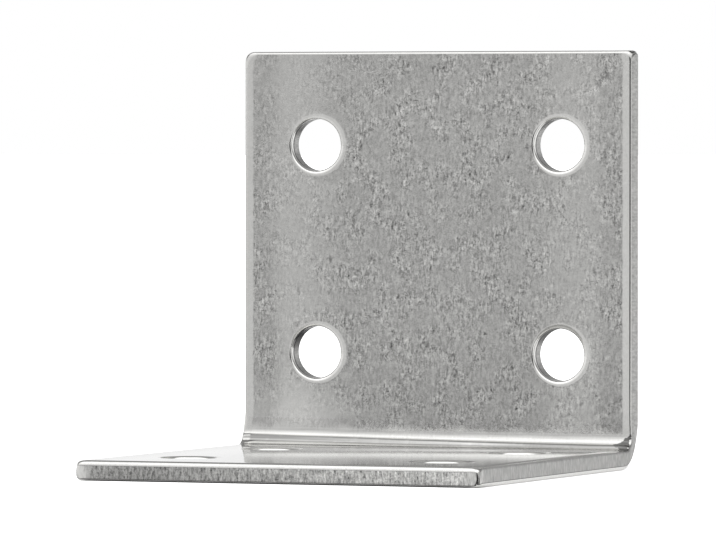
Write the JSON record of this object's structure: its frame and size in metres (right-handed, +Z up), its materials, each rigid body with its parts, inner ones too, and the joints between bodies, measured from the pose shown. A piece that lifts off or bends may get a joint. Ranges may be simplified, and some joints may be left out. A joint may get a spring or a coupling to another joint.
{
  "type": "wide angle bracket",
  "caption": "Wide folded-steel angle bracket with round screw holes in both legs, for joining timber and boards at a right angle.",
  "frame": {"origin": "middle of the footprint, on the underside of the lower leg", "axes": "+X across the bracket, +Y towards the back face of the upright leg, +Z up along the upright leg"},
  "size_m": [0.0404, 0.042, 0.0398],
  "materials": {
    "stainless": "tumbled satin, with a fine mottle"
  },
  "bodies": {
    "root": {"angle_bracket": "stainless"}
  },
  "joints": []
}
